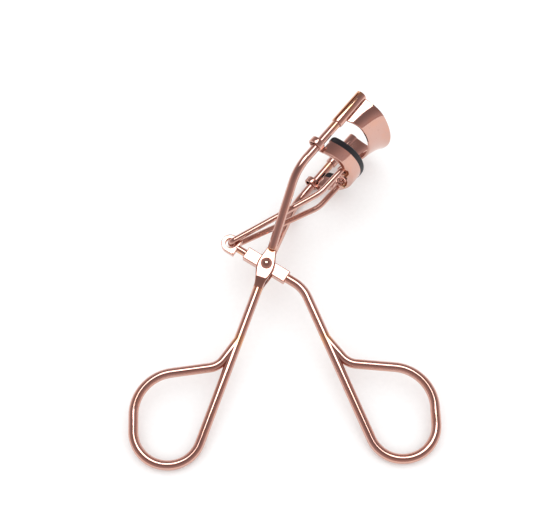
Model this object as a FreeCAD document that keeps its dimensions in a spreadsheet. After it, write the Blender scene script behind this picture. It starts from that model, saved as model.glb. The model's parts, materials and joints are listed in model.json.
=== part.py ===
"""Eyelash curler: bent-wire handles, two side rails, a fixed upper jaw and a sliding lower jaw.

Everything is laid out first in the flat tool frame: the rivet's axis is Z, the head points up +Y,
and the two finger loops lie in the plane Z = 0. At the end the whole tool is laid on its finger
loops and its rear rail, as it rests on a table. Millimetres and degrees throughout.
"""
import FreeCAD, Part
import math
import os
import Sketcher
from FreeCAD import Placement, Rotation, Vector

DIMENSIONS = [
    ("handle_wire", 2.5, "diameter of both handle wires"),
    ("rail_rod", 2.3, "diameter of the two side rails"),
    ("link_rod", 1.6, "diameter of the link wire"),
    ("frame_angle", 68.9, "direction of the frame's straight axis, from +X"),
    ("slide_angle", 49.3, "direction that the lower jaw slides in, from +X"),
    ("bend_reach", 23.55, "rivet to the rails' bend, along the frame's axis"),
    ("rail_half_gap", 12.9, "tool plane to either rail's axis at the head"),
    ("rail_bend", 7.0, "radius of the rails' bend"),
    ("rail_foot_reach", 4.4, "rivet to the round foot of a rail"),
    ("rail_foot_lift", 2.3, "height of the rail's axis at its foot"),
    ("rail_top", 27.5, "rails' upper ends, above the bend"),
    ("ear_gap", 1.3, "tool plane to the inner face of an ear"),
    ("ear_thickness", 0.9, "thickness of a flattened ear"),
    ("ear_half_width", 2.35, "widest half-width of an ear"),
    ("ear_neck", 1.15, "half-width of an ear where it meets rod or wire"),
    ("ear_top", 5.2, "rivet to the upper end of an ear"),
    ("ear_tail", 6.6, "rivet to the lower end of an ear"),
    ("ear_brow", 2.0, "half-width of an ear between rivet and rod"),
    ("ear_cheek", 1.85, "half-width of an ear between rivet and handle wire"),
    ("ear_end", 0.95, "half-width of an ear at its lower end"),
    ("rivet_radius", 1.0, "rivet's shank"),
    ("rivet_head_radius", 1.5, "rivet's domed heads, across"),
    ("rivet_head_height", 0.85, "rivet's domed heads, high"),
    ("rivet_head_rim", 0.2, "straight rim of the rivet's heads"),
    ("pivot_play", 0.05, "radial running clearance on the rivet"),
    ("stem_start", 4.6, "rivet to the upper end of the left handle"),
    ("loop_floor", 51.5, "rivet to the loops' lowest wire axis, along -Y"),
    ("loop_side", 34.4, "rivet to the left loop's outermost wire axis, along -X"),
    ("loop_roof_side", 29.2, "loop's roof line, where it meets the outer side"),
    ("loop_roof_pitch", 6.4, "slope of the loop's roof line"),
    ("loop_neck_x", 13.0, "where the roof line turns up to the stem"),
    ("loop_braze_y", 20.0, "where the loop's end dies into the stem"),
    ("loop_heel", 8.2, "bend radius at the foot of the stem"),
    ("loop_outer_low", 8.7, "bend radius at the outer lower corner"),
    ("loop_outer_high", 10.6, "bend radius at the outer upper corner"),
    ("loop_neck", 5.0, "bend radius where the wire turns up to the stem"),
    ("right_shift", 7.0, "how far the right loop stands out past a mirror image"),
    ("elbow", 9.0, "bend radius from the lever block to the right stem"),
    ("lever_angle", 146.0, "direction from the rivet to the eye of the lever"),
    ("block_reach", 6.4, "rivet to either end of the lever block"),
    ("block_width", 3.4, "width of the lever block"),
    ("block_thickness", 2.4, "thickness of the lever block"),
    ("neck_radius", 1.0, "round neck between block and eye"),
    ("neck_overlap", 0.5, "how far the neck runs on inside the block and the boss"),
    ("boss_start", 8.9, "rivet to the flat shoulder of the eye boss"),
    ("boss_half_width", 2.4, "half-width of the eye boss"),
    ("boss_thickness", 1.8, "thickness of the eye boss"),
    ("boss_turn", 11.56, "rivet to the middle of the boss's round end"),
    ("eye_reach", 11.26, "rivet to the middle of the eye"),
    ("eye_radius", 1.3, "hole of the eye, with play for the link wire"),
    ("strip_end", 0.4, "how far the strips run on past the rails' plane, inside the sleeves"),
    ("tab_start", 1.3, "rails' plane to the near end of a tab, inside its collar"),
    ("mating_slope", 0.3, "rise of the jaws' mating edges per unit away from the rails"),
    ("plate_low", 18.9, "upper jaw's mating edge at the rails' plane, above the bend"),
    ("plate_height", 8.5, "height of the upper jaw's plate at the rails' plane"),
    ("plate_thickness", 0.8, "thickness of the upper jaw's plate"),
    ("foot_sagitta", 7.75, "rails' plane to the foot of the plate, if it weren't cut on a slope"),
    ("foot_half_width", 11.8, "tool plane to the ends of the plate's foot"),
    ("foot_front_radius", 17.0, "front arc of the plate's foot"),
    ("foot_corner_radius", 6.5, "corner arcs of the plate's foot"),
    ("rim_sagitta", 10.95, "rails' plane to the plate's flared upper rim"),
    ("rim_half_width", 12.2, "tool plane to the ends of the rim"),
    ("rim_front_radius", 16.0, "front arc of the rim"),
    ("rim_corner_radius", 7.0, "corner arcs of the rim"),
    ("sleeve_low", 16.6, "lower ends of the rolled sleeves, above the bend"),
    ("sleeve_height", 10.8, "length of the rolled sleeves"),
    ("sleeve_radius", 1.6, "outside of the rolled sleeves"),
    ("band_sagitta", 10.75, "rails' plane to the lower jaw's middle line"),
    ("band_half_width", 11.65, "tool plane to the ends of the lower jaw's middle line"),
    ("band_front_radius", 12.3, "front arc of the lower jaw's middle line"),
    ("band_corner_radius", 9.5, "side arcs of the lower jaw's middle line"),
    ("band_low", 7.85, "lower jaw's lower edge at the rails' plane, above the bend"),
    ("band_height", 3.6, "height of the lower jaw's channel"),
    ("band_width", 1.7, "width over the channel's two walls"),
    ("channel_width", 0.9, "width between the channel's two walls"),
    ("channel_depth", 3.1, "depth of the channel"),
    ("channel_start", 1.95, "rails' plane to the open ends of the channel"),
    ("collar_low", 7.8, "lower faces of the collars, above the bend"),
    ("collar_height", 1.8, "height of the collars"),
    ("collar_radius", 2.0, "outside of the collars"),
    ("collar_shift", 0.4, "how far the collars stand off the rails' axes, away from the jaws"),
    ("collar_play", 0.1, "radial running clearance of the collars"),
    ("tab_thickness", 0.8, "tab between a collar and the channel"),
    ("pad_foot_width", 0.84, "width of the pad inside the channel"),
    ("pad_width", 2.3, "width of the pad above the channel"),
    ("pad_gap", 0.03, "foot of the pad's head above the channel's walls"),
    ("pad_height", 1.85, "height of the pad above the channel"),
    ("pad_round", 0.6, "rounding of the pad's upper edges"),
    ("lug_out", 7.55, "rails' plane to the eye of a lug"),
    ("lug_up", 10.5, "eye of a lug, above the bend"),
    ("lug_radius", 1.75, "outside of a lug"),
    ("lug_bore", 0.88, "hole of a lug"),
    ("lug_inner_face", 3.1, "tool plane to a lug's inner face"),
    ("lug_thickness", 1.0, "thickness of a lug"),
    ("leg_half_gap", 5.4, "tool plane to a leg of the link wire at its lug"),
    ("hook_tip", 2.8, "tool plane to the tip of the link wire's hooks"),
    ("hook_bend", 1.2, "bend radius of the hooks and of the turns at the eye"),
    ("kink_out", 7.2, "rails' plane to the kink in the link wire"),
    ("kink_up", 1.3, "kink in the link wire, above the bend"),
    ("kink_half_gap", 5.2, "tool plane to a leg at its kink"),
    ("kink_bend", 9.0, "bend radius of the kink"),
    ("eye_half_gap", 2.0, "tool plane to a leg at the eye"),
    ("eye_bias", 0.23, "how far the wire sits off the eye's middle, towards the rivet"),
    ("loop_join_drop", 0.95, "how far below halfway up a loop's side its two lengths meet"),
    ("cut_margin", 1.0, "how far a cutting shape stands clear of what it cuts"),
    ("lying_tilt", 9.72, "how far the head is raised when the tool lies on a table"),
]

doc = FreeCAD.newDocument("EyelashCurler")
sheet = doc.addObject("Spreadsheet::Sheet", "Sizes")
for row, (alias, value, note) in enumerate(DIMENSIONS, start=1):
    sheet.set(f"A{row}", note)
    sheet.set(f"B{row}", str(value))
    sheet.setAlias(f"B{row}", alias)
doc.recompute()


def size(alias):
    return float(sheet.get(alias))


def heading(angle):
    return Vector(math.cos(math.radians(angle)), math.sin(math.radians(angle)), 0)


UP = Vector(0, 0, 1)
FRAME_AXIS = heading(size("frame_angle"))
SLIDE_AXIS = heading(size("slide_angle"))
JAW_FRONT = SLIDE_AXIS.cross(UP)
BEND = FRAME_AXIS * size("bend_reach")

# Three working frames: the ears along the frame's axis, the lever along its block, and the head,
# whose local Z runs up the rails from their bend and whose local X points out at the jaws.
EAR = Placement(Vector(), Rotation(UP, size("frame_angle") - 90))
LEVER = Placement(Vector(), Rotation(UP, size("lever_angle")))
HEAD = Placement(BEND, Rotation(JAW_FRONT, UP * -1, SLIDE_AXIS))


# ---- helpers shared by the sub-parts ----

def route(points, radii):
    """Straight runs joined by tangent arcs, with one bend radius for each inner point."""
    edges = []
    start = points[0]
    for before, corner, after, radius in zip(points, points[1:], points[2:], radii):
        back = (before - corner).normalize()
        ahead = (after - corner).normalize()
        half_inside = back.getAngle(ahead) / 2
        reach = radius / math.tan(half_inside)
        middle = (back + ahead).normalize() * (radius / math.sin(half_inside) - radius)
        arc_start = corner + back * reach
        arc_end = corner + ahead * reach
        if start.distanceToPoint(arc_start) > 1e-6:
            edges.append(Part.LineSegment(start, arc_start).toShape())
        edges.append(Part.Arc(arc_start, corner + middle, arc_end).toShape())
        start = arc_end
    edges.append(Part.LineSegment(start, points[-1]).toShape())
    return edges


def bent_rod(name, edges, diameter):
    """A round rod swept along a bent route; its diameter is a cell of the sheet."""
    spine = doc.addObject("Part::Feature", name + "_route")
    spine.Shape = Part.Wire(edges)
    first = edges[0]
    section = doc.addObject("Part::Circle", name + "_section")
    section.setExpression("Radius", f"Sizes.{diameter} / 2")
    section.Placement = Placement(first.valueAt(first.FirstParameter),
                                  Rotation(UP, first.tangentAt(first.FirstParameter)))
    rod = doc.addObject("Part::Sweep", name)
    rod.Sections = [section]
    rod.Spine = (spine, [f"Edge{number + 1}" for number in range(len(edges))])
    rod.Solid = True
    rod.Frenet = False
    doc.recompute()
    return rod


def fused(label, pieces):
    joined = doc.addObject("Part::MultiFuse", label)
    joined.Shapes = pieces
    return joined


def new_body(label):
    return doc.addObject("PartDesign::Body", label)


def origin_plane(body, role):
    return next(item for item in body.Origin.OriginFeatures if item.Role == role)


def new_sketch(body, name, geometry, role="XY_Plane", lift=None):
    """A sketch on one of the body's own origin planes, lifted off it by a cell of the sheet."""
    sketch = body.newObject("Sketcher::SketchObject", name)
    sketch.AttachmentSupport = [(origin_plane(body, role), "")]
    sketch.MapMode = "FlatFace"
    if lift:
        sketch.setExpression(".AttachmentOffset.Base.z", lift)
    for item in geometry:
        sketch.addGeometry(item, False)
    return sketch


def hold_radius(sketch, index, expression):
    """Ties the radius of one circle or arc of a sketch to the sheet."""
    radius = sketch.Geometry[index].Radius
    number = sketch.addConstraint(Sketcher.Constraint("Radius", index, radius))
    sketch.setExpression(f"Constraints[{number}]", expression)


def pad(body, sketch, length, midplane=False):
    feature = body.newObject("PartDesign::Pad", sketch.Name + "_pad")
    feature.Profile = sketch
    feature.setExpression("Length", length)
    feature.Midplane = midplane
    body.Tip = feature
    doc.recompute()
    return feature


def pocket(body, sketch, length, midplane=False, reverse=False):
    """A pocket that must remove material: a wrong direction would cut nothing and say nothing."""
    before = body.Shape.Volume
    feature = body.newObject("PartDesign::Pocket", sketch.Name + "_pocket")
    feature.Profile = sketch
    feature.setExpression("Length", length)
    feature.Midplane = midplane
    feature.Reversed = reverse
    body.Tip = feature
    doc.recompute()
    if body.Shape.Volume >= before - 1e-6:
        raise RuntimeError(f"{feature.Name} cuts nothing")
    return feature


def circle(x, y, radius):
    return Part.Circle(Vector(x, y, 0), UP, radius)


def outline(points):
    """A closed run of straight lines through the points."""
    return [Part.LineSegment(start, end) for start, end in zip(points, points[1:] + points[:1])]


# ---- the frame: two rails with flattened ears, and the left handle ----

def ear_outline():
    """The ear in its own frame: narrow at the rod, widest just below the rivet, narrow again."""
    top, tail = size("ear_top"), size("ear_tail")
    side = [(size("ear_neck"), top), (size("ear_brow"), top / 3),
            (size("ear_half_width"), -tail / 5), (size("ear_cheek"), -tail * 2 / 3),
            (size("ear_end"), -tail)]
    right, left = Part.BSplineCurve(), Part.BSplineCurve()
    right.interpolate([Vector(x, y, 0) for x, y in side])
    left.interpolate([Vector(-x, y, 0) for x, y in side])
    return [right, left, Part.LineSegment(left.StartPoint, right.StartPoint),
            Part.LineSegment(left.EndPoint, right.EndPoint)]


def make_rail(label, side):
    """One rail: side is +1 for the front rail and -1 for the rear rail."""
    ear = new_body(label + "_ear")
    face_lift = "Sizes.ear_gap" if side > 0 else "-Sizes.ear_gap - Sizes.ear_thickness"
    blank = new_sketch(ear, label + "_ear_blank", ear_outline(), lift=face_lift)
    pad(ear, blank, "Sizes.ear_thickness")
    hole = new_sketch(ear, label + "_ear_hole", [circle(0, 0, size("rivet_radius"))], lift=face_lift)
    hold_radius(hole, 0, "Sizes.rivet_radius")
    pocket(ear, hole, "Sizes.ear_thickness", reverse=True)
    ear.Placement = EAR

    foot = FRAME_AXIS * size("rail_foot_reach") + UP * (side * size("rail_foot_lift"))
    bend = BEND + UP * (side * size("rail_half_gap"))
    rod = bent_rod(label + "_rod", route([foot, bend, bend + SLIDE_AXIS * size("rail_top")],
                                         [size("rail_bend")]), "rail_rod")
    tip = doc.addObject("Part::Sphere", label + "_tip")
    tip.setExpression("Radius", "Sizes.rail_rod / 2")
    tip.Placement = Placement(foot, Rotation())
    return fused(label, [ear, rod, tip])


def loop_points(mirror, shift):
    """The finger loop's corners, from the foot of the stem round to its end in the stem."""
    slope = math.tan(math.radians(size("loop_roof_pitch")))
    side, floor = size("loop_side"), size("loop_floor")
    roof_side, neck_x, braze_y = size("loop_roof_side"), size("loop_neck_x"), size("loop_braze_y")
    stem_x = 1 / math.tan(math.radians(size("frame_angle")))
    left = [(-floor * stem_x, -floor), (-side, -floor), (-side, -roof_side),
            (-neck_x, -roof_side + (side - neck_x) * slope), (-braze_y * stem_x, -braze_y)]
    return [Vector(mirror * x + shift, y, 0) for x, y in left]


def make_handle(label, top, first_radii, mirror, shift):
    """A handle wire in two lengths that meet halfway up the loop's outer side."""
    heel, outer_low, outer_high, neck, end = loop_points(mirror, shift)
    halfway = Vector(outer_low.x, (outer_low.y + outer_high.y) / 2 - size("loop_join_drop"), 0)
    lower = route(top + [heel, outer_low, halfway],
                  first_radii + [size("loop_heel"), size("loop_outer_low")])
    upper = route([halfway, outer_high, neck, end],
                  [size("loop_outer_high"), size("loop_neck")])
    return fused(label, [bent_rod(label + "_stem", lower, "handle_wire"),
                         bent_rod(label + "_loop", upper, "handle_wire")])


def make_left_handle():
    return make_handle("left_handle", [FRAME_AXIS * -size("stem_start")], [], 1, 0)


def make_pivot_rivet():
    """A headed pin, turned about the rivet's axis: shank, and a domed head on each side."""
    shank, head = size("rivet_radius"), size("rivet_head_radius")
    face = size("ear_gap") + size("ear_thickness")
    crown = face + size("rivet_head_height")
    shoulder = face + size("rivet_head_rim")

    rise = crown - shoulder
    dome_radius = (head ** 2 + rise ** 2) / (2 * rise)
    half_turn = math.asin(head / dome_radius) / 2
    dome_middle = (dome_radius * math.sin(half_turn),
                   crown - dome_radius * (1 - math.cos(half_turn)))

    def half_profile(sign):
        return [Part.LineSegment(Vector(shank, sign * face, 0), Vector(head, sign * face, 0)),
                Part.LineSegment(Vector(head, sign * face, 0), Vector(head, sign * shoulder, 0)),
                Part.Arc(Vector(head, sign * shoulder, 0),
                         Vector(dome_middle[0], sign * dome_middle[1], 0),
                         Vector(0, sign * crown, 0))]

    body = new_body("pivot_rivet")
    side = Part.LineSegment(Vector(shank, -face, 0), Vector(shank, face, 0))
    axis = Part.LineSegment(Vector(0, -crown, 0), Vector(0, crown, 0))
    profile = new_sketch(body, "rivet_profile", [side, axis] + half_profile(1) + half_profile(-1),
                         role="XZ_Plane")
    turned = body.newObject("PartDesign::Revolution", "rivet_turned")
    turned.Profile = profile
    turned.ReferenceAxis = (profile, ["V_Axis"])
    turned.Angle = 360
    body.Tip = turned
    return body


# ---- the head: jaws, pad, lugs ----

def jaw_line(curve, offset, start):
    """Points where a jaw's curve, moved out by offset, changes from run to arc to run."""
    half, corner = size(curve + "_half_width"), size(curve + "_corner_radius")
    front = size(curve + "_front_radius")
    front_x = size(curve + "_sagitta") - front
    corner_y = half - corner
    corner_x = front_x + math.sqrt((front - corner) ** 2 - corner_y ** 2)
    turn = math.atan2(corner_y, corner_x - front_x)

    def on_corner(angle):
        return Vector(corner_x + (corner + offset) * math.cos(angle),
                      corner_y + (corner + offset) * math.sin(angle), 0)

    return {"start": Vector(start, half + offset, 0), "side": on_corner(math.pi / 2),
            "corner": on_corner((math.pi / 2 + turn) / 2), "front": on_corner(turn),
            "middle": Vector(front_x + front + offset, 0, 0)}


def mirrored(point):
    return Vector(point.x, -point.y, 0)


def jaw_side(line):
    """One wall of a curved strip, as five curves from its upper end to its lower end."""
    return [Part.LineSegment(line["start"], line["side"]),
            Part.Arc(line["side"], line["corner"], line["front"]),
            Part.Arc(line["front"], line["middle"], mirrored(line["front"])),
            Part.Arc(mirrored(line["front"]), mirrored(line["corner"]), mirrored(line["side"])),
            Part.LineSegment(mirrored(line["side"]), mirrored(line["start"]))]


def strip_sketch(body, name, curve, width, lift):
    """The closed outline of a strip that follows one of the jaws' curves, up to the rails."""
    start = -size("strip_end")
    outer = jaw_line(curve, size(width) / 2, start)
    inner = jaw_line(curve, -size(width) / 2, start)
    ends = [Part.LineSegment(outer["start"], inner["start"]),
            Part.LineSegment(mirrored(outer["start"]), mirrored(inner["start"]))]
    sketch = new_sketch(body, name, jaw_side(outer) + jaw_side(inner) + ends, lift=lift)
    for first, sign in ((0, "+"), (5, "-")):
        for index, radius in ((1, "corner_radius"), (2, "front_radius"), (3, "corner_radius")):
            hold_radius(sketch, first + index, f"Sizes.{curve}_{radius} {sign} Sizes.{width} / 2")
    return sketch


def slope_rise(x):
    return size("mating_slope") * x


def sloping_strip(name, width, low, high, start):
    """A strip along the lower jaw's curve, between two faces that rise away from the rails.
    Its blank stands on the plane of the bends and reaches above any such strip."""
    far = size("band_sagitta") + size("band_width")
    blank = new_body(name + "_blank")
    pad(blank, strip_sketch(blank, name + "_outline", "band", width, None), "Sizes.plate_low")
    slab = new_body(name + "_slab")
    corners = [Vector(x, level + slope_rise(x), 0)
               for x, level in ((start, low), (far, low), (far, high), (start, high))]
    pad(slab, new_sketch(slab, name + "_side", outline(corners), role="XZ_Plane"),
        "4 * Sizes.band_half_width", midplane=True)
    trimmed = doc.addObject("Part::MultiCommon", name)
    trimmed.Shapes = [blank, slab]
    doc.recompute()
    return trimmed


def rail_rings(body, name, radius, expression, lift, shift=0):
    """Two circles, one round each rail, or both shifted away from the jaws."""
    half = size("rail_half_gap")
    sketch = new_sketch(body, name, [circle(-shift, half, radius), circle(-shift, -half, radius)],
                        lift=lift)
    hold_radius(sketch, 0, expression)
    hold_radius(sketch, 1, expression)
    return sketch


def make_upper_jaw():
    """The fixed jaw: a flared, curved plate whose ends are rolled round the rails as sleeves."""
    body = new_body("upper_jaw")
    foot = strip_sketch(body, "plate_foot", "foot", "plate_thickness", "Sizes.plate_low")
    rim = strip_sketch(body, "plate_rim", "rim", "plate_thickness",
                       "Sizes.plate_low + Sizes.plate_height")
    plate = body.newObject("PartDesign::AdditiveLoft", "plate")
    plate.Profile = foot
    plate.Sections = [rim]
    plate.Ruled = True
    body.Tip = plate
    doc.recompute()

    near, far, low = -size("sleeve_radius"), size("rim_sagitta") + size("cut_margin"), size("plate_low")
    under = low - size("cut_margin")
    below = [Vector(near, under, 0), Vector(far, under, 0),
             Vector(far, low + slope_rise(far), 0), Vector(near, low + slope_rise(near), 0)]
    pocket(body, new_sketch(body, "mating_edge", outline(below), role="XZ_Plane"),
           "4 * Sizes.rail_half_gap", midplane=True)
    pad(body, rail_rings(body, "sleeves", size("sleeve_radius"), "Sizes.sleeve_radius",
                         "Sizes.sleeve_low"), "Sizes.sleeve_height")
    bores = rail_rings(body, "sleeve_bores", size("rail_rod") / 2, "Sizes.rail_rod / 2",
                       "Sizes.sleeve_low")
    pocket(body, bores, "Sizes.sleeve_height", reverse=True)
    body.Placement = HEAD
    return body


def make_lower_jaw():
    """The sliding jaw: a curved channel on a slope, with a rolled collar at each end."""
    low, start = size("band_low"), size("channel_start")
    high = low + size("band_height")
    channel = doc.addObject("Part::Cut", "channel")
    channel.Base = sloping_strip("band", "band_width", low, high, start)
    channel.Tool = sloping_strip("groove", "channel_width", high - size("channel_depth"),
                                 high + size("cut_margin"), start - size("cut_margin"))

    rolled = new_body("collars")
    half, tab = size("rail_half_gap"), size("tab_thickness")
    near = size("tab_start")
    wall = size("band_half_width") + size("band_width") / 2
    pad(rolled, rail_rings(rolled, "collar_rings", size("collar_radius"), "Sizes.collar_radius",
                           "Sizes.collar_low", size("collar_shift")), "Sizes.collar_height")
    for name, side in (("rear_tab", 1), ("front_tab", -1)):
        outside, inside = side * wall, side * (wall - tab)
        corners = [Vector(near, inside, 0), Vector(start, inside, 0),
                   Vector(start, outside, 0), Vector(near, outside, 0)]
        pad(rolled, new_sketch(rolled, name, outline(corners), lift="Sizes.collar_low"),
            "Sizes.collar_height")
    bore = size("rail_rod") / 2 + size("collar_play")
    bores = rail_rings(rolled, "collar_bores", bore, "Sizes.rail_rod / 2 + Sizes.collar_play",
                       "Sizes.collar_low")
    pocket(rolled, bores, "Sizes.collar_height", reverse=True)
    jaw = fused("lower_jaw", [channel, rolled])
    jaw.Placement = HEAD
    return jaw


def make_pad():
    """The silicone strip: a narrow foot in the channel and a wider head with rounded edges."""
    low, start = size("band_low"), size("channel_start")
    crown = low + size("band_height") + size("pad_gap")
    floor = low + size("band_height") - size("channel_depth")
    head = sloping_strip("pad_head", "pad_width", crown, crown + size("pad_height"), start)

    def on_top(point):
        return abs(point.z - crown - size("pad_height") - slope_rise(point.x)) < 1e-4

    def on_end(point):
        return abs(point.x - start) < 1e-4

    rounded = doc.addObject("Part::Fillet", "pad_rounding")
    rounded.Base = head
    rounded.Edges = [(number, size("pad_round"), size("pad_round"))
                     for number, edge in enumerate(head.Shape.Edges, start=1)
                     if all(on_top(vertex.Point) for vertex in edge.Vertexes)
                     and not all(on_end(vertex.Point) for vertex in edge.Vertexes)]
    foot = sloping_strip("pad_foot", "pad_foot_width", floor, crown, start)
    strip = fused("pad", [rounded, foot])
    strip.Placement = HEAD
    return strip


def make_lug(label, side):
    """A small eye brazed inside the lower jaw, for one hook of the link wire."""
    body = new_body(label)
    lift = ("Sizes.lug_inner_face" if side > 0 else "-Sizes.lug_inner_face - Sizes.lug_thickness")
    x, y = size("lug_out"), size("lug_up")
    sketch = new_sketch(body, label + "_eye", [circle(x, y, size("lug_radius")),
                                               circle(x, y, size("lug_bore"))],
                        role="XZ_Plane", lift=lift)
    hold_radius(sketch, 0, "Sizes.lug_radius")
    hold_radius(sketch, 1, "Sizes.lug_bore")
    pad(body, sketch, "Sizes.lug_thickness")
    body.Placement = HEAD
    return body


# ---- what moves: lever head, right handle and link wire ----

def make_lever_head():
    """The pressed end of the lever: block with the rivet hole, round neck, flat eye boss."""
    body = new_body("lever_head")
    reach, half = size("block_reach"), size("block_width") / 2
    block = new_sketch(body, "block", outline([Vector(-reach, -half, 0), Vector(reach, -half, 0),
                                               Vector(reach, half, 0), Vector(-reach, half, 0)]))
    pad(body, block, "Sizes.block_thickness", midplane=True)
    neck = new_sketch(body, "neck", [circle(0, 0, size("neck_radius"))], role="YZ_Plane",
                      lift="Sizes.block_reach - Sizes.neck_overlap")
    hold_radius(neck, 0, "Sizes.neck_radius")
    pad(body, neck, "Sizes.boss_start - Sizes.block_reach + 2 * Sizes.neck_overlap")
    start, wide = size("boss_start"), size("boss_half_width")
    turn = size("boss_turn")
    boss = new_sketch(body, "boss", [
        Part.LineSegment(Vector(start, -wide, 0), Vector(start, wide, 0)),
        Part.LineSegment(Vector(start, wide, 0), Vector(turn, wide, 0)),
        Part.Arc(Vector(turn, wide, 0), Vector(turn + wide, 0, 0), Vector(turn, -wide, 0)),
        Part.LineSegment(Vector(turn, -wide, 0), Vector(start, -wide, 0))])
    hold_radius(boss, 2, "Sizes.boss_half_width")
    pad(body, boss, "Sizes.boss_thickness", midplane=True)
    holes = new_sketch(body, "lever_holes", [
        circle(0, 0, size("rivet_radius") + size("pivot_play")),
        circle(size("eye_reach"), 0, size("eye_radius"))])
    hold_radius(holes, 0, "Sizes.rivet_radius + Sizes.pivot_play")
    hold_radius(holes, 1, "Sizes.eye_radius")
    pocket(body, holes, "2 * Sizes.block_thickness", midplane=True)
    body.Placement = LEVER
    return body


def make_right_handle():
    """The moving handle: out of the block's end, round the elbow and down to its loop."""
    lever = heading(size("lever_angle")) * -1
    lean = math.tan(math.radians(size("frame_angle")))
    pitch = lever.y / lever.x
    elbow_x = lean * size("right_shift") / (lean + pitch)
    elbow = Vector(elbow_x, pitch * elbow_x, 0)
    return make_handle("right_handle", [lever * size("block_reach"), elbow], [size("elbow")],
                       -1, size("right_shift"))


def make_link_wire():
    """One wire bent to a U: through the eye, past both rails, and hooked in the two lugs."""
    def leg(side):
        hook = HEAD.multVec(Vector(size("lug_out"), 0, size("lug_up")))
        kink = HEAD.multVec(Vector(size("kink_out"), 0, size("kink_up")))
        eye = heading(size("lever_angle")) * (size("eye_reach") - size("eye_bias"))
        heights = [size("hook_tip"), size("leg_half_gap"), size("kink_half_gap"),
                   size("eye_half_gap")]
        return [Vector(place.x, place.y, side * lift) for place, lift in
                zip([hook, hook, kink, eye], heights)]

    bends = [size("hook_bend"), size("kink_bend"), size("hook_bend")]
    return bent_rod("link_wire", route(leg(1) + leg(-1)[::-1], bends + bends[::-1]), "link_rod")


# ---- assembly, checks and files ----

def lay_down(parts):
    """Tilts the whole tool onto its loops and rear rail, with its box centred over the origin."""
    tilt = Rotation(Vector(1, 0, 0), size("lying_tilt"))
    whole = Part.makeCompound([part.Shape for part in parts])
    whole.Placement = Placement(Vector(), tilt)
    box = whole.optimalBoundingBox(False, False)
    lying = Placement(Vector(-box.Center.x, -box.Center.y, -box.ZMin), tilt)
    for part in parts:
        part.Placement = lying.multiply(part.Placement)
    doc.recompute()


def check(parts):
    """Stops if any feature failed or any sub-part has no sound solid."""
    for item in doc.Objects:
        if "Invalid" in item.State or "Error" in item.State:
            raise RuntimeError(f"{item.Name} failed: {item.State}")
    for part in parts:
        if part.Shape.isNull() or not part.Shape.isValid() or len(part.Shape.Solids) != 1:
            raise RuntimeError(f"{part.Label} has no sound solid")


subparts = [
    make_left_handle(),
    make_rail("front_rail", 1),
    make_rail("rear_rail", -1),
    make_upper_jaw(),
    make_pivot_rivet(),
    make_lever_head(),
    make_right_handle(),
    make_link_wire(),
    make_lower_jaw(),
    make_lug("front_lug", 1),
    make_lug("rear_lug", -1),
    make_pad(),
]
doc.recompute()
check(subparts)
lay_down(subparts)
check(subparts)

os.makedirs("parts", exist_ok=True)
for part in subparts:
    part.Shape.exportStep(os.path.join("parts", part.Label + ".step"))
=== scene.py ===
"""Eyelash curler: bent-wire handles, two side rails, a fixed upper jaw and a sliding lower jaw.

Every new piece is shaped in millimetres in the frame that the real one is made in, and set in
its place by one matrix as its mesh is finished.
"""
import json
import math

import bmesh
import bpy
from mathutils import Matrix, Vector


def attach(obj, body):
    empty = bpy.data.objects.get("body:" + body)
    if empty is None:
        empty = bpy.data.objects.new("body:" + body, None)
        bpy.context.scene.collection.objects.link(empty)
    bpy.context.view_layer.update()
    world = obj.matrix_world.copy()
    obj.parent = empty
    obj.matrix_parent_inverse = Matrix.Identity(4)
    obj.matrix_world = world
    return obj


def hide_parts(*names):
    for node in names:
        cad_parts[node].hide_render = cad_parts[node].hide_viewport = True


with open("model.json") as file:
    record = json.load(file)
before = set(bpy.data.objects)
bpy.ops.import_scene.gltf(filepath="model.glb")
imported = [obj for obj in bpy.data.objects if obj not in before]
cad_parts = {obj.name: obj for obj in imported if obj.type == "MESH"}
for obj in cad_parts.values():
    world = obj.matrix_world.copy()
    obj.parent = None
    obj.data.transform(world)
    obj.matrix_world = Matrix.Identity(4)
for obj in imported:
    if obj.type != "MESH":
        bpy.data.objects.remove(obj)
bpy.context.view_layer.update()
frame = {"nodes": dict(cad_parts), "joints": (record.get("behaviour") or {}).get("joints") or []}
nodes = frame["nodes"]
joints = {joint["name"]: joint for joint in frame["joints"]}


# ---- camera ----
# It looks down on the curler as it lies on a table, from beyond the finger loops.
# The lens is long, so that the near loops and the far jaws keep their true proportions.

MM = 0.001
CAMERA_FROM_RIVET = Vector((-4.57, -141.73, 257.55))
LOOK_WAY, PICTURE_UP = Vector((0.0189, 0.4861, -0.8737)), Vector((0.0242, 0.8734, 0.4865))
LENS, SENSOR_WIDTH, CLIP_START = 74.67, 36, 0.01
PIVOT = Vector(joints["lever_hinge"]["pos_m"])
look = LOOK_WAY.normalized()
picture_right = look.cross(PICTURE_UP).normalized()
camera_turn = Matrix((picture_right, picture_right.cross(look), -look)).transposed().to_4x4()
camera = bpy.data.objects.new("camera", bpy.data.cameras.new("camera"))
camera.data.lens = LENS
camera.data.sensor_width = SENSOR_WIDTH
camera.data.clip_start = CLIP_START
camera.matrix_world = Matrix.Translation(PIVOT + CAMERA_FROM_RIVET * MM) @ camera_turn
bpy.context.scene.collection.objects.link(camera)
bpy.context.scene.camera = camera


# ---- the table, a sheet of matt white paper ----
# It is flat and wider than the picture, and the sides and undersides of the metal mirror it.
# Its grain is fine fibre, which shows only close up.

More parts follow.
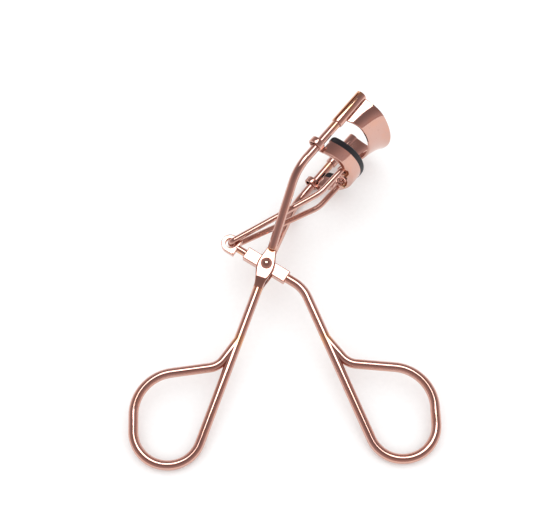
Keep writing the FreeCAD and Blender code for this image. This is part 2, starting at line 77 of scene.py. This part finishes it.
class Shade:
    """One output of a node. Arithmetic on it adds Math nodes; node() adds any other kind."""

    def __init__(self, tree, socket=None):
        self.tree, self.socket = tree, socket

    def node(self, kind, settings=None, inputs=None, output=0):
        made = self.tree.nodes.new(kind)
        for key, value in (settings or {}).items():
            setattr(made, key, value)
        for key, value in (inputs or {}).items():
            if isinstance(value, Shade):
                self.tree.links.new(value.socket, made.inputs[key])
            else:
                made.inputs[key].default_value = value
        return Shade(self.tree, made.outputs[output] if made.outputs else None)

    def math(self, operation, *values):
        return self.node("ShaderNodeMath", {"operation": operation}, dict(enumerate(values)))

    def __add__(self, other):
        return self.math("ADD", self, other)

    def __sub__(self, other):
        return self.math("SUBTRACT", self, other)

    def __rsub__(self, other):
        return self.math("SUBTRACT", other, self)

    def __mul__(self, other):
        return self.math("MULTIPLY", self, other)

    __radd__, __rmul__ = __add__, __mul__

    def stretched(self, scale):
        """This coordinate with each axis scaled, for a pattern that runs one way."""
        return self.node("ShaderNodeMapping", inputs={"Vector": self, "Scale": scale})

    def grain(self, scale, detail=3.0, roughness=0.55):
        """Noise of that many spots per metre, from 0 to 1."""
        return self.node("ShaderNodeTexNoise", inputs={
            "Vector": self, "Scale": scale, "Detail": detail, "Roughness": roughness})

    def between(self, low, high):
        """0 below low and 1 above high, smooth in between."""
        return self.node("ShaderNodeMapRange", {"interpolation_type": "SMOOTHSTEP"}, {
            "Value": self, "From Min": low, "From Max": high})

    def mix(self, first, second):
        """The first colour where this is 0 and the second where it is 1."""
        colours = {key: value if isinstance(value, Shade) else (*value, 1)
                   for key, value in (("Color1", first), ("Color2", second))}
        return self.node("ShaderNodeMixRGB", inputs={"Fac": self, **colours})

    def bump(self, strength, distance):
        return self.node("ShaderNodeBump", inputs={
            "Height": self, "Strength": strength, "Distance": distance})


def start_finish(name):
    """A new material and its Object coordinates."""
    material = bpy.data.materials.new(name)
    material.use_nodes = True
    material.node_tree.nodes.clear()
    place = Shade(material.node_tree).node("ShaderNodeTexCoord", output=3)
    return material, place


def end_finish(place, inputs):
    surface = place.node("ShaderNodeBsdfPrincipled", inputs=inputs)
    place.node("ShaderNodeOutputMaterial", inputs={"Surface": surface})


TABLE_HALF_WIDTH = 2.5
PAPER_GREY, PAPER_WHITE = (0.88, 0.88, 0.88), (0.94, 0.94, 0.94)
FIBRES_PER_METRE, FIBRE_DEPTH = 900, 0.00002

paper, place = start_finish("paper")
fibre = place.grain(FIBRES_PER_METRE, 4)
end_finish(place, {"Base Color": fibre.mix(PAPER_GREY, PAPER_WHITE),
                   "Roughness": 0.9 - 0.1 * fibre, "Specular IOR Level": 0.1,
                   "Normal": fibre.bump(0.1, FIBRE_DEPTH)})

bm = bmesh.new()
bmesh.ops.create_grid(bm, x_segments=1, y_segments=1, size=TABLE_HALF_WIDTH)
table_mesh = bpy.data.meshes.new("table")
bm.to_mesh(table_mesh)
bm.free()
table_mesh.materials.append(paper)
table = bpy.data.objects.new("table", table_mesh)
bpy.context.scene.collection.objects.link(table)


# ---- the light: a small soft box overhead in a room that the metal sees as dim ----
# The soft box hangs where the flat faces of the lever and the ears mirror it to the camera.
# The walls alone light the paper, from all sides, so that it has almost no shadows. They are
# bright to the paper and the camera and dim to mirrored rays, as no real room is.

UP = -Vector(joints["lever_hinge"]["axis"])
SOFT_BOX_AWAY, SOFT_BOX_SIZE, SOFT_BOX_RADIANCE = 0.62, (0.36, 0.27), 4.6
LOW_WALL, HIGH_WALL = (0.60, 0.48, 0.475), (0.26, 0.205, 0.21)
WALLS_TO_PAPER = (1.30, 1.30, 1.30)

soft_box = bpy.data.objects.new("soft_box", bpy.data.lights.new("soft_box", "AREA"))
soft_box.data.shape = "RECTANGLE"
soft_box.data.size, soft_box.data.size_y = SOFT_BOX_SIZE
soft_box.data.energy = SOFT_BOX_RADIANCE * math.pi * SOFT_BOX_SIZE[0] * SOFT_BOX_SIZE[1]
mirrored_way = 2 * UP.dot(-look) * UP + look
soft_box.location = PIVOT + mirrored_way * SOFT_BOX_AWAY
soft_box.rotation_euler = mirrored_way.to_track_quat("Z", "Y").to_euler()
soft_box.visible_diffuse = False
bpy.context.scene.collection.objects.link(soft_box)

room = bpy.data.worlds.new("room")
room.use_nodes = True
room.node_tree.nodes.clear()
air = Shade(room.node_tree)
direction = air.node("ShaderNodeTexCoord", output=0)
height = air.node("ShaderNodeSeparateXYZ", inputs={"Vector": direction}, output=2)
walls = height.between(0.1, 1.0).mix(LOW_WALL, HIGH_WALL)
glossy = air.node("ShaderNodeLightPath", output=3)
light = glossy.mix(WALLS_TO_PAPER, walls)
air.node("ShaderNodeOutputWorld", inputs={
    "Surface": air.node("ShaderNodeBackground", inputs={"Color": light})})
bpy.context.scene.world = room
bpy.context.scene.view_settings.view_transform = "Standard"


# ---- left handle ----
# One wire of plated steel, bent to a finger loop whose end is brazed to its own stem.
# Its top stays round, brazed between the ears of the two rails. Painted golden highlights lie on
# the plate at both brazed joints.

ROSE, COPPER = (0.635, 0.385, 0.325), (0.67, 0.375, 0.295)
# The first colour on the next line is a painted golden highlight, put in spots on the plate; the
# second is the colour of scuffs.
PAINTED_GOLD_HIGHLIGHT, WORN = (0.80, 0.42, 0.20), (0.50, 0.29, 0.24)
CLOUDS_PER_METRE, SCUFFS_PER_METRE, CLOUD_DEPTH = 260, 1400, 0.0004
WIRE_POLISH, WIRE_ROUGHNESS = (900, 120, 900), 0.05
LEFT_BRAZE_HIGHLIGHTS = (((-7.8, -20.3), 0.0028), ((-2.6, -6.8), 0.0022))

SIDE = Vector((1, 0, 0))
AHEAD = UP.cross(SIDE)
TOOL = (Matrix.Translation(PIVOT) @ Matrix((SIDE, AHEAD, UP)).transposed().to_4x4()
        @ Matrix.Scale(MM, 4))


def plating(name, polish, roughness, highlight_spots=(), waviness=0.10):
    """Polished rose-gold plate. polish scales the marks of the buffing wheel along each axis,
    and the highlight spots are (place, radius) of painted golden highlights at brazed joints, place
    in metres."""
    material, place = start_finish(name)
    cloud = place.grain(CLOUDS_PER_METRE, 2)
    marks = place.stretched(polish).grain(1.0, 4, 0.6)
    worn = place.grain(SCUFFS_PER_METRE, 3).between(0.60, 0.74)
    colour = cloud.between(0.35, 0.75).mix(ROSE, COPPER)
    colour = (worn * 0.35).mix(colour, WORN)
    # Painted golden highlights: the colour is mixed towards warm gold in soft spots round the given
    # places, as glints of light on the brazed joints.
    painted_highlight = None
    for centre, radius in highlight_spots:
        reach = place.node("ShaderNodeVectorMath", {"operation": "DISTANCE"}, {
            0: place, 1: tuple(centre)}, output=1)
        highlight_spot = 1 - (reach + (cloud - 0.5) * radius).between(0.35 * radius, radius)
        painted_highlight = highlight_spot if painted_highlight is None else painted_highlight.math("MAXIMUM", painted_highlight, highlight_spot)
    if painted_highlight is not None:
        colour = (painted_highlight * 0.7).mix(colour, PAINTED_GOLD_HIGHLIGHT)
    gloss = roughness + 0.05 * marks + 0.10 * worn
    relief = cloud * 0.5 + marks * 0.06
    end_finish(place, {"Base Color": colour, "Metallic": 1.0, "Roughness": gloss,
                       "Normal": relief.bump(waviness, CLOUD_DEPTH)})
    return material


def cover(node, material):
    """A CAD node that keeps its shape and gets a finish."""
    for slot in nodes[node].material_slots:
        slot.material = material


def on_tool(x, y):
    """A place in the plane in which the handles swing, in mm from the rivet."""
    return TOOL @ Vector((x, y, 0))


cover("left_handle", plating("wire_rose_plate", WIRE_POLISH, WIRE_ROUGHNESS,
                             [(on_tool(*highlight_spot), radius) for highlight_spot, radius in LEFT_BRAZE_HIGHLIGHTS]))


# ---- front and rear rail ----
# Each is a plated rod whose foot is flattened to an ear round the rivet.
# From there it leans out to the side, bends, and runs straight up to the head.

SLIDE = Vector(joints["jaw_slide"]["axis"])
OUT = SLIDE.cross(UP)
LUG_OUT, LUG_UP = 7.55, 10.5
BEND = Vector(joints["link_swing"]["pos_m"]) - (OUT * LUG_OUT + SLIDE * LUG_UP) * MM
HEAD = (Matrix.Translation(BEND) @ Matrix((OUT, -UP, SLIDE)).transposed().to_4x4()
        @ Matrix.Scale(MM, 4))
RAIL_HALF_GAP, RAIL_POLISH = 12.9, (700, 160, 700)


def on_head(x, y, z):
    """A place on the head, in mm: out at the jaws, along the jaws, and up the rails."""
    return HEAD @ Vector((x, y, z))


FRAME_AXIS = (BEND - PIVOT).normalized()
EAR = (Matrix.Translation(PIVOT)
       @ Matrix((FRAME_AXIS.cross(UP), FRAME_AXIS, UP)).transposed().to_4x4()
       @ Matrix.Scale(MM, 4))
RAIL_RADIUS, RAIL_BEND, RAIL_TOP, RAIL_FOOT = 1.15, 13.0, 27.4, (4.4, 2.3)
EAR_GAP, EAR_THICKNESS, EAR_TOP, EAR_TAIL = 1.3, 0.9, 5.3, 6.6
EAR_HALF_WIDTH, EAR_NECK, EAR_MIDDLE = 2.35, 1.15, -0.6
EAR_SINK_FROM, EAR_SINK = 3.2, 0.8
EDGE_ROUND, EAR_STEPS, EAR_ROWS = 0.22, 48, 14
FLAT_ABOVE, CREASE, WELD = 4.0, math.radians(35), 1e-7
DOME_STEPS, DOME_STEP, DOME_HEIGHT = 5, math.radians(17), 0.5
WIRE_SIDES, BEND_STEPS = 28, 14


def finish_piece(bm, name, matrix, material, body, replaced):
    """Sets the shaped piece in its place, smooths all but its large flat faces, and gives it to
    its body."""
    bmesh.ops.transform(bm, matrix=matrix, verts=bm.verts)
    bmesh.ops.remove_doubles(bm, verts=bm.verts, dist=WELD)
    bmesh.ops.recalc_face_normals(bm, faces=bm.faces)
    mesh = bpy.data.meshes.new(name)
    bm.to_mesh(mesh)
    bm.free()
    mesh.shade_smooth()
    mesh.set_sharp_from_angle(angle=CREASE)
    for face in mesh.polygons:
        face.use_smooth = face.area < FLAT_ABOVE * MM * MM
    mesh.materials.append(material)
    piece = bpy.data.objects.new(name, mesh)
    bpy.context.scene.collection.objects.link(piece)
    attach(piece, body)
    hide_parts(replaced)


def edges_in(geometry):
    return [item for item in geometry if isinstance(item, bmesh.types.BMEdge)]


def verts_in(geometry):
    return [item for item in geometry if isinstance(item, bmesh.types.BMVert)]


def closed_ring(bm, places):
    """A ring of edges through the places; it bounds a face that closes one end."""
    ring = [bm.verts.new(place) for place in places]
    edges = [bm.edges.new(pair) for pair in zip(ring, ring[1:] + ring[:1])]
    bm.faces.new(ring)
    return edges


def rounded_profile(low, high, inside, outside, radius, rows=1):
    """A rectangle's outline with rounded corners, its two sides divided into rows."""
    points = []
    corners = ((outside - radius, low + radius, -90), (outside - radius, high - radius, 0),
               (inside + radius, high - radius, 90), (inside + radius, low + radius, 180))
    for number, (x, y, first) in enumerate(corners):
        for step in range(4):
            angle = math.radians(first + 30 * step)
            points.append((x + radius * math.cos(angle), y + radius * math.sin(angle)))
        if number in (0, 2):
            end = high - radius if number == 0 else low + radius
            points += [(points[-1][0], y + (end - y) * row / rows) for row in range(1, rows)]
    return points


def opened(edges, bm, vec):
    """Extrudes a ring of edges along vec and gives the new ring."""
    grown = bmesh.ops.extrude_edge_only(bm, edges=edges)["geom"]
    moved = verts_in(grown)
    bmesh.ops.translate(bm, verts=moved, vec=vec)
    return [edge for edge in edges_in(grown) if all(vert in moved for vert in edge.verts)]


def swung(edges, bm, centre, axis, angle, steps):
    """Spins a ring of edges about an axis and gives the last ring."""
    return edges_in(bmesh.ops.spin(bm, geom=edges, cent=centre, axis=axis, angle=angle,
                                   steps=steps, use_duplicate=False)["geom_last"])


def bent_wire(bm, corners, bends, radius):
    """A round wire through the corners, with a bend at each inner one and domed ends."""
    way = (corners[1] - corners[0]).normalized()
    ring = bmesh.ops.create_circle(bm, segments=WIRE_SIDES, radius=radius, matrix=(
        Matrix.Translation(corners[0]) @ way.to_track_quat("Z", "Y").to_matrix().to_4x4()))
    edges = list({edge for vert in ring["verts"] for edge in vert.link_edges})
    dome(bm, edges, -way, radius)
    here = corners[0]
    for corner, after, bend in zip(corners[1:-1], corners[2:], bends):
        turned_way = (after - corner).normalized()
        turn = way.angle(turned_way)
        trim = bend * math.tan(turn / 2)
        edges = opened(edges, bm, corner - way * trim - here)
        axis = way.cross(turned_way).normalized()
        centre = corner - way * trim + axis.cross(way) * bend
        edges = swung(edges, bm, centre, axis, turn, BEND_STEPS)
        here, way = corner + turned_way * trim, turned_way
    dome(bm, opened(edges, bm, corners[-1] - here), way, radius)


def dome(bm, edges, way, radius):
    """Closes a wire's end with a dome half as high as it's wide."""
    for step in range(DOME_STEPS):
        last, angle = DOME_STEP * step, DOME_STEP * (step + 1)
        edges = opened(edges, bm, way * radius * DOME_HEIGHT * (math.sin(angle) - math.sin(last)))
        verts = list({vert for edge in edges for vert in edge.verts})
        middle = sum((vert.co for vert in verts), Vector()) / len(verts)
        bmesh.ops.scale(bm, vec=Vector.Fill(3, math.cos(angle) / math.cos(last)), verts=verts,
                        space=Matrix.Translation(-middle))
    bmesh.ops.contextual_create(bm, geom=edges)


for rail, side in (("front_rail", -1), ("rear_rail", 1)):
    bm = bmesh.new()
    outline = rounded_profile(-1, 1, EAR_GAP, EAR_GAP + EAR_THICKNESS, EDGE_ROUND, EAR_ROWS)
    edges = closed_ring(bm, [(across, EAR_TOP, -side * level) for level, across in outline])
    for step in range(EAR_STEPS):
        edges = opened(edges, bm, (0, -(EAR_TOP + EAR_TAIL) / EAR_STEPS, 0))
    bmesh.ops.contextual_create(bm, geom=edges)
    for vert in bm.verts:
        reach = (vert.co.y - EAR_MIDDLE) / (EAR_TOP - EAR_MIDDLE if vert.co.y > EAR_MIDDLE
                                            else EAR_TAIL + EAR_MIDDLE)
        narrowing = 0.5 - 0.5 * math.cos(math.pi * min(abs(reach), 1))
        vert.co.x *= EAR_HALF_WIDTH + (EAR_NECK - EAR_HALF_WIDTH) * narrowing
        sinking = max(0.0, (-vert.co.y - EAR_SINK_FROM) / (EAR_TAIL - EAR_SINK_FROM))
        vert.co.z += side * EAR_SINK * sinking ** 2
    bmesh.ops.transform(bm, matrix=EAR, verts=bm.verts)
    foot = EAR @ Vector((0, RAIL_FOOT[0], -side * RAIL_FOOT[1]))
    shoulder = HEAD @ Vector((0, side * RAIL_HALF_GAP, 0))
    top = HEAD @ Vector((0, side * RAIL_HALF_GAP, RAIL_TOP - RAIL_RADIUS / 2))
    bent_wire(bm, [foot, shoulder, top], [RAIL_BEND * MM], RAIL_RADIUS * MM)
    # The plate gets painted golden highlights at the rail's foot and partway up the rail.
    finish_piece(bm, rail + "_rod", Matrix(),
                 plating(rail + "_plate", RAIL_POLISH, WIRE_ROUGHNESS, [
                     (on_head(0, side * RAIL_HALF_GAP, 15.3), 0.0018), (foot, 0.0016)]),
                 "frame", rail)


# ---- upper jaw ----
# A curved strip of pressed plate whose upper rim is flared and whose lower edge is cut on a slope.
# Its ends are rolled round the rails as long sleeves, and the seams are brazed. Painted golden
# highlights lie in spots up each seam.

MATING_SLOPE = 0.3
FOOT_CURVE = {"sagitta": 8.3, "half": 11.8, "front": 20.0, "corner": 4.0}
PLATE_LOW, PLATE_HIGH = 18.9, 27.4
PLATE_THICKNESS, PLATE_START, PLATE_EDGE, PLATE_ROWS = 0.55, 0.85, 0.12, 14
RIM_SAGITTA, RIM_HALF = 10.95, 12.2
FLARE_STRAIGHT, FLARE_POWER = 0.62, 4
SLEEVE_LOW, SLEEVE_OUTSIDE, SLEEVE_BORE = 16.6, 1.5, 1.16
CORNER_STEPS, FRONT_STEPS, ROLL_STEPS = 12, 36, 40
SEAM, SLEEVE_SEAM_AT, JAW_POLISH = math.radians(14), math.radians(118), (500, 500, 500)
SEAM_BRAZE_HIGHLIGHTS = ((16.9, 0.0012), (19.4, 0.0020), (21.6, 0.0024), (24.3, 0.0016), (26.8, 0.0016))


def along_jaw(bm, profile, curve, start):
    """Carries a closed profile of (offset, height) points from one rail round to the other."""
    front_x = curve["sagitta"] - curve["front"]
    corner_y = curve["half"] - curve["corner"]
    corner_x = front_x + math.sqrt((curve["front"] - curve["corner"]) ** 2 - corner_y ** 2)
    turn = math.atan2(corner_y, corner_x - front_x)
    around = (0, 0, 1)
    edges = closed_ring(bm, [(start, -curve["half"] - offset, height)
                             for offset, height in profile])
    edges = opened(edges, bm, (corner_x - start, 0, 0))
    corner_turn = math.pi / 2 - turn
    edges = swung(edges, bm, (corner_x, -corner_y, 0), around, corner_turn, CORNER_STEPS)
    edges = swung(edges, bm, (front_x, 0, 0), around, 2 * turn, FRONT_STEPS)
    edges = swung(edges, bm, (corner_x, corner_y, 0), around, corner_turn, CORNER_STEPS)
    bmesh.ops.contextual_create(bm, geom=opened(edges, bm, (start - corner_x, 0, 0)))


def rolled(bm, inside, outside, low, height, centre, seam_at, radius):
    """A sheet rolled round a rail into a sleeve, with its seam open a little at that angle."""
    profile = rounded_profile(low, low + height, inside, outside, radius)
    edges = closed_ring(bm, [(centre[0] + reach, centre[1], level) for reach, level in profile])
    middle = (centre[0], centre[1], 0)
    bmesh.ops.rotate(bm, verts=list({vert for edge in edges for vert in edge.verts}),
                     cent=middle, matrix=Matrix.Rotation(seam_at + SEAM / 2, 3, "Z"))
    bmesh.ops.contextual_create(bm, geom=swung(edges, bm, middle, (0, 0, 1),
                                               2 * math.pi - SEAM, ROLL_STEPS))


bm = bmesh.new()
half_sheet = PLATE_THICKNESS / 2
along_jaw(bm, rounded_profile(PLATE_LOW, PLATE_HIGH, -half_sheet, half_sheet, PLATE_EDGE,
                              PLATE_ROWS), FOOT_CURVE, PLATE_START)
for vert in bm.verts:
    rise = (vert.co.z - PLATE_LOW) / (PLATE_HIGH - PLATE_LOW)
    flare = FLARE_STRAIGHT * rise + (1 - FLARE_STRAIGHT) * rise ** FLARE_POWER
    vert.co.x *= 1 + flare * (RIM_SAGITTA / FOOT_CURVE["sagitta"] - 1)
    vert.co.y *= 1 + flare * (RIM_HALF / FOOT_CURVE["half"] - 1)
    vert.co.z += MATING_SLOPE * vert.co.x * (1 - rise)
for side in (-1, 1):
    rolled(bm, SLEEVE_BORE, SLEEVE_OUTSIDE, SLEEVE_LOW, PLATE_HIGH - SLEEVE_LOW,
           (0, side * RAIL_HALF_GAP), side * SLEEVE_SEAM_AT, PLATE_EDGE)
seam_highlights = [(on_head(-0.9, side * (RAIL_HALF_GAP + 1.2), height), radius)
              for side in (-1, 1) for height, radius in SEAM_BRAZE_HIGHLIGHTS]
finish_piece(bm, "upper_jaw_plate", HEAD,
             plating("jaw_rose_plate", JAW_POLISH, 0.07, seam_highlights, 0.05),
             "frame", "upper_jaw")


# ---- rivet ----
# A plated steel pin with a domed head on each side, closed over the ears when it is set.
# The lever turns on it between them.

FINE_POLISH = (900, 900, 900)

cover("pivot_rivet", plating("rivet_rose_plate", FINE_POLISH, 0.06, waviness=0.02))


# ---- lever head ----
# A small steel forging: a square block on the rivet, a round neck, and a flat boss with an eye.
# Its faces are ground flat and plated, and its edges are broken a little. The block has no bore
# here: the ears and the rivet cover the place.

LEVER_ANGLE = math.radians(146)
LEVER = TOOL @ Matrix.Rotation(LEVER_ANGLE, 4, "Z")
BLOCK_REACH, BLOCK_WIDTH, BLOCK_THICKNESS = 6.4, 3.4, 2.4
BOSS_THICKNESS, BOSS_HALF_WIDTH, BOSS_START = 1.8, 2.4, 8.9
EYE_REACH, EYE_RADIUS, NECK_RADIUS = 11.26, 1.3, 1.0
BROKEN_EDGE, NECK_OVERLAP, SHARP = 0.26, 0.5, math.radians(50)
NECK_SIDES, EYE_SIDES, GROUND_POLISH = 32, 64, (400, 400, 400)


def broken(bm, edges, offset):
    """Bevels sharp edges round."""
    bmesh.ops.bevel(bm, geom=edges, offset=offset, segments=3, profile=0.5, affect="EDGES",
                    material=-1)


bm = bmesh.new()
block = bmesh.ops.create_cube(bm, size=1)["verts"]
bmesh.ops.scale(bm, vec=(2 * BLOCK_REACH, BLOCK_WIDTH, BLOCK_THICKNESS), verts=block)
broken(bm, bm.edges[:], BROKEN_EDGE)

neck_length = BOSS_START - BLOCK_REACH + 2 * NECK_OVERLAP
neck = bmesh.ops.create_cone(bm, cap_ends=True, segments=NECK_SIDES, radius1=NECK_RADIUS,
                             radius2=NECK_RADIUS, depth=neck_length)["verts"]
bmesh.ops.rotate(bm, verts=neck, cent=(0, 0, 0), matrix=Matrix.Rotation(math.pi / 2, 3, "Y"))
bmesh.ops.translate(bm, verts=neck, vec=((BLOCK_REACH + BOSS_START) / 2, 0, 0))

hole = bmesh.ops.create_circle(bm, segments=EYE_SIDES, radius=EYE_RADIUS)["verts"]
hole_edges = list({edge for vert in hole for edge in vert.link_edges})
grown = bmesh.ops.extrude_edge_only(bm, edges=hole_edges)["geom"]
for vert in verts_in(grown):
    way = vert.co.normalized()
    square = 1 / max(abs(way.x), abs(way.y)) if way.x < 0 else 1
    vert.co = way * BOSS_HALF_WIDTH * square
flat = [item for item in grown if isinstance(item, bmesh.types.BMFace)]
boss = list({vert for face in flat for vert in face.verts})
bmesh.ops.translate(bm, verts=boss, vec=(EYE_REACH, 0, -BOSS_THICKNESS / 2))
top = bmesh.ops.extrude_face_region(bm, geom=flat)["geom"]
bmesh.ops.translate(bm, verts=verts_in(top), vec=(0, 0, BOSS_THICKNESS))
boss += verts_in(top)
rim_edges = [edge for vert in boss for edge in vert.link_edges
             if edge.is_manifold and edge.calc_face_angle(0) > SHARP]
broken(bm, list(set(rim_edges)), BROKEN_EDGE / 2)
# The forging gets a painted golden highlight on its neck.
finish_piece(bm, "lever_head_forging", LEVER,
             plating("lever_rose_plate", GROUND_POLISH, 0.06,
                     [(LEVER @ Vector((7.6, 0.6, 0)), 0.0014)], 0.03),
             "lever", "lever_head")


# ---- right handle ----
# The moving handle, of the same wire: brazed into the lever's block and bent at an elbow.
# Its loop is closed on its own stem like the left one. Painted golden highlights lie on the plate
# at both brazed joints.

RIGHT_BRAZE_HIGHLIGHTS = (((14.8, -20.3), 0.0028), ((5.9, -4.0), 0.0014))

cover("right_handle", plating("right_wire_plate", WIRE_POLISH, WIRE_ROUGHNESS,
                              [(on_tool(*highlight_spot), radius) for highlight_spot, radius in RIGHT_BRAZE_HIGHLIGHTS]))


# ---- link wire ----
# One thin plated wire bent to a U, which passes through the lever's eye.
# Its ends are hooked inward and sit in the two lugs.

LINK_RADIUS, HOOK_BEND, KINK_BEND, LINK_POLISH = 0.8, 1.2, 9.0, (900, 300, 900)
KINK, EYE_BIAS = (7.2, 0, 1.3), 0.23
HOOK_TIP, LEG_HALF_GAP, KINK_HALF_GAP, EYE_HALF_GAP = 2.9, 5.4, 5.2, 2.0

hook, kink = on_head(LUG_OUT, 0, LUG_UP), on_head(*KINK)
eye = LEVER @ Vector((EYE_REACH - EYE_BIAS, 0, 0))
leg = [hook + UP * HOOK_TIP * MM, hook + UP * LEG_HALF_GAP * MM,
       kink + UP * KINK_HALF_GAP * MM, eye + UP * EYE_HALF_GAP * MM]
other_leg = [corner - 2 * (corner - PIVOT).dot(UP) * UP for corner in leg[::-1]]
bends = [HOOK_BEND * MM, KINK_BEND * MM, HOOK_BEND * MM]
bm = bmesh.new()
bent_wire(bm, leg + other_leg, bends + bends[::-1], LINK_RADIUS * MM)
finish_piece(bm, "link_bent_wire", Matrix(),
             plating("link_rose_plate", LINK_POLISH, WIRE_ROUGHNESS),
             "link", "link_wire")


# ---- lower jaw ----
# A channel folded from sheet, which runs on the same slope as the upper jaw's edge.
# Its ends are rolled round the rails as short collars that slide.

BAND_CURVE = {"sagitta": 9.95, "half": 11.65, "front": 13.2, "corner": 8.5}
BAND_LOW, BAND_HEIGHT, BAND_START, BAND_RUN_ON = 7.85, 3.6, 1.68, -0.5
CHANNEL_HALF = ((0.62, 0.0), (0.76, 0.05), (0.85, 0.2), (0.85, 3.5), (0.78, 3.6), (0.52, 3.6),
                (0.45, 3.5), (0.45, 0.5))
CHANNEL = ((-0.30, 0.0), *CHANNEL_HALF, *((-offset, level) for offset, level in CHANNEL_HALF[::-1]))
COLLAR_LOW, COLLAR_HEIGHT, COLLAR_RADIUS, COLLAR_SHIFT = 7.8, 1.8, 2.0, 0.4
COLLAR_SHEET, COLLAR_EDGE, COLLAR_SEAM_AT = 0.5, 0.2, math.radians(-150)
TAB_LENGTH, TAB_SHEET, TAB_TURN, TAB_OUT, TAB_HALF_GAP = 1.3, 0.4, 0.3, 1.75, 12.15
SHEAR = Matrix(((1, 0, 0, 0), (0, 1, 0, 0), (MATING_SLOPE, 0, 1, 0), (0, 0, 0, 1)))


def cut_ends(bm, start):
    """Cuts a strip off square at both ends, that far out from the rails, and leaves it open."""
    bmesh.ops.bisect_plane(bm, geom=bm.verts[:] + bm.edges[:] + bm.faces[:], dist=1e-5,
                           plane_co=(start, 0, 0), plane_no=(1, 0, 0), clear_inner=True)


bm = bmesh.new()
along_jaw(bm, [(offset, BAND_LOW + height) for offset, height in CHANNEL], BAND_CURVE,
          BAND_RUN_ON)
bmesh.ops.transform(bm, matrix=SHEAR, verts=bm.verts)
cut_ends(bm, BAND_START)
bmesh.ops.holes_fill(bm, edges=[edge for edge in bm.edges if edge.is_boundary])
for side in (-1, 1):
    rolled(bm, COLLAR_RADIUS - COLLAR_SHEET, COLLAR_RADIUS, COLLAR_LOW, COLLAR_HEIGHT,
           (-COLLAR_SHIFT, side * RAIL_HALF_GAP), side * COLLAR_SEAM_AT, COLLAR_EDGE)
    tab = bmesh.ops.create_cube(bm, size=1)["verts"]
    bmesh.ops.scale(bm, vec=(TAB_LENGTH, TAB_SHEET, COLLAR_HEIGHT), verts=tab)
    bmesh.ops.rotate(bm, verts=tab, cent=(0, 0, 0),
                     matrix=Matrix.Rotation(side * TAB_TURN, 3, "Z"))
    bmesh.ops.translate(bm, verts=tab, vec=(TAB_OUT, side * TAB_HALF_GAP,
                                            COLLAR_LOW + COLLAR_HEIGHT / 2))
# The channel gets painted golden highlights where the lugs are brazed to it.
finish_piece(bm, "lower_jaw_channel", HEAD,
             plating("band_rose_plate", JAW_POLISH, 0.08,
                     [(on_head(9.2, side * 3.6, 9.9), 0.0015) for side in (1, -1)], 0.05),
             "sliding_jaw", "lower_jaw")


# ---- lugs ----
# Two small eyes of plated steel, brazed by a short foot to the inside of the channel.
# The ends of the link wire hook in them.

LUG_BORE, LUG_OUTSIDE, LUG_INNER_FACE, LUG_THICKNESS, LUG_EDGE = 0.9, 1.5, 3.15, 0.9, 0.25
LUG_FOOT, LUG_FOOT_OVERLAP = (0.7, 0.7, 1.8), 0.1

for lug, side in (("front_lug", -1), ("rear_lug", 1)):
    bm = bmesh.new()
    profile = rounded_profile(LUG_INNER_FACE, LUG_INNER_FACE + LUG_THICKNESS,
                              LUG_BORE, LUG_OUTSIDE, LUG_EDGE)
    ring = [bm.verts.new((LUG_OUT + reach, side * level, LUG_UP)) for reach, level in profile]
    bmesh.ops.spin(bm, geom=[bm.edges.new(pair) for pair in zip(ring, ring[1:] + ring[:1])],
                   cent=(LUG_OUT, 0, LUG_UP), axis=(0, 1, 0), angle=2 * math.pi, steps=ROLL_STEPS,
                   use_merge=True, use_duplicate=False)
    foot = bmesh.ops.create_cube(bm, size=1)["verts"]
    bmesh.ops.scale(bm, vec=LUG_FOOT, verts=foot)
    bmesh.ops.translate(bm, verts=foot, vec=(LUG_OUT + LUG_OUTSIDE + LUG_FOOT_OVERLAP,
                                             side * (LUG_INNER_FACE + LUG_THICKNESS / 2), LUG_UP))
    # Each lug gets a painted golden highlight at its brazed foot.
    finish_piece(bm, lug + "_eye", HEAD,
                 plating(lug + "_plate", FINE_POLISH, 0.10,
                         [(on_head(9.2, side * 3.6, 10.0), 0.0014)]),
                 "sliding_jaw", lug)


# ---- pad ----
# A strip of black silicone pressed into the channel, where it stands proud.
# The upper jaw's edge closes towards it. Its ends are round.

PAD_SUNK, PAD_HEIGHT, PAD_HALF_WIDTH, PAD_ROUND, PAD_START = 0.45, 2.1, 0.95, 0.62, 2.25
PAD_LOW = BAND_LOW + BAND_HEIGHT - PAD_SUNK
DUSTY, BLACK = (0.022, 0.019, 0.027), (0.007, 0.006, 0.010)
DUST_PER_METRE, PORES_PER_METRE, PORE_DEPTH = 2600, 5200, 0.00003
PAD_WELD, PAD_END_STEPS, ON_LINE = 0.004, 14, 1e-4

silicone, place = start_finish("black_silicone")
dust = place.grain(DUST_PER_METRE, 4).between(0.55, 0.75)
skin = place.grain(PORES_PER_METRE, 2)
end_finish(place, {"Base Color": (dust * 0.6).mix(BLACK, DUSTY),
                   "Roughness": 0.46 + 0.14 * skin + 0.1 * dust, "Specular IOR Level": 0.35,
                   "Normal": skin.bump(0.12, PORE_DEPTH)})

bm = bmesh.new()
half = [point for point in rounded_profile(PAD_LOW, PAD_LOW + PAD_HEIGHT, 0, PAD_HALF_WIDTH,
                                           PAD_ROUND, 2) if point[0] > PAD_ROUND]
profile = ([(0, PAD_LOW)] + half + [(0, PAD_LOW + PAD_HEIGHT)]
           + [(-offset, level) for offset, level in half[::-1]])
along_jaw(bm, profile, BAND_CURVE, BAND_RUN_ON)
cut_ends(bm, PAD_START)
for side in (-1, 1):
    rim = [edge for edge in bm.edges if edge.is_boundary and edge.verts[0].co.y * side > 0]
    lowest = min((vert for edge in rim for vert in edge.verts), key=lambda vert: vert.co.z)
    middle = lowest.co.y
    outer = [edge for edge in rim
             if all(side * (vert.co.y - middle) > -ON_LINE for vert in edge.verts)]
    swung(outer, bm, (PAD_START, middle, 0), (0, 0, side), math.pi, PAD_END_STEPS)
bmesh.ops.remove_doubles(bm, verts=bm.verts, dist=PAD_WELD)
bmesh.ops.transform(bm, matrix=SHEAR, verts=bm.verts)
finish_piece(bm, "pad_strip", HEAD, silicone, "sliding_jaw", "pad")
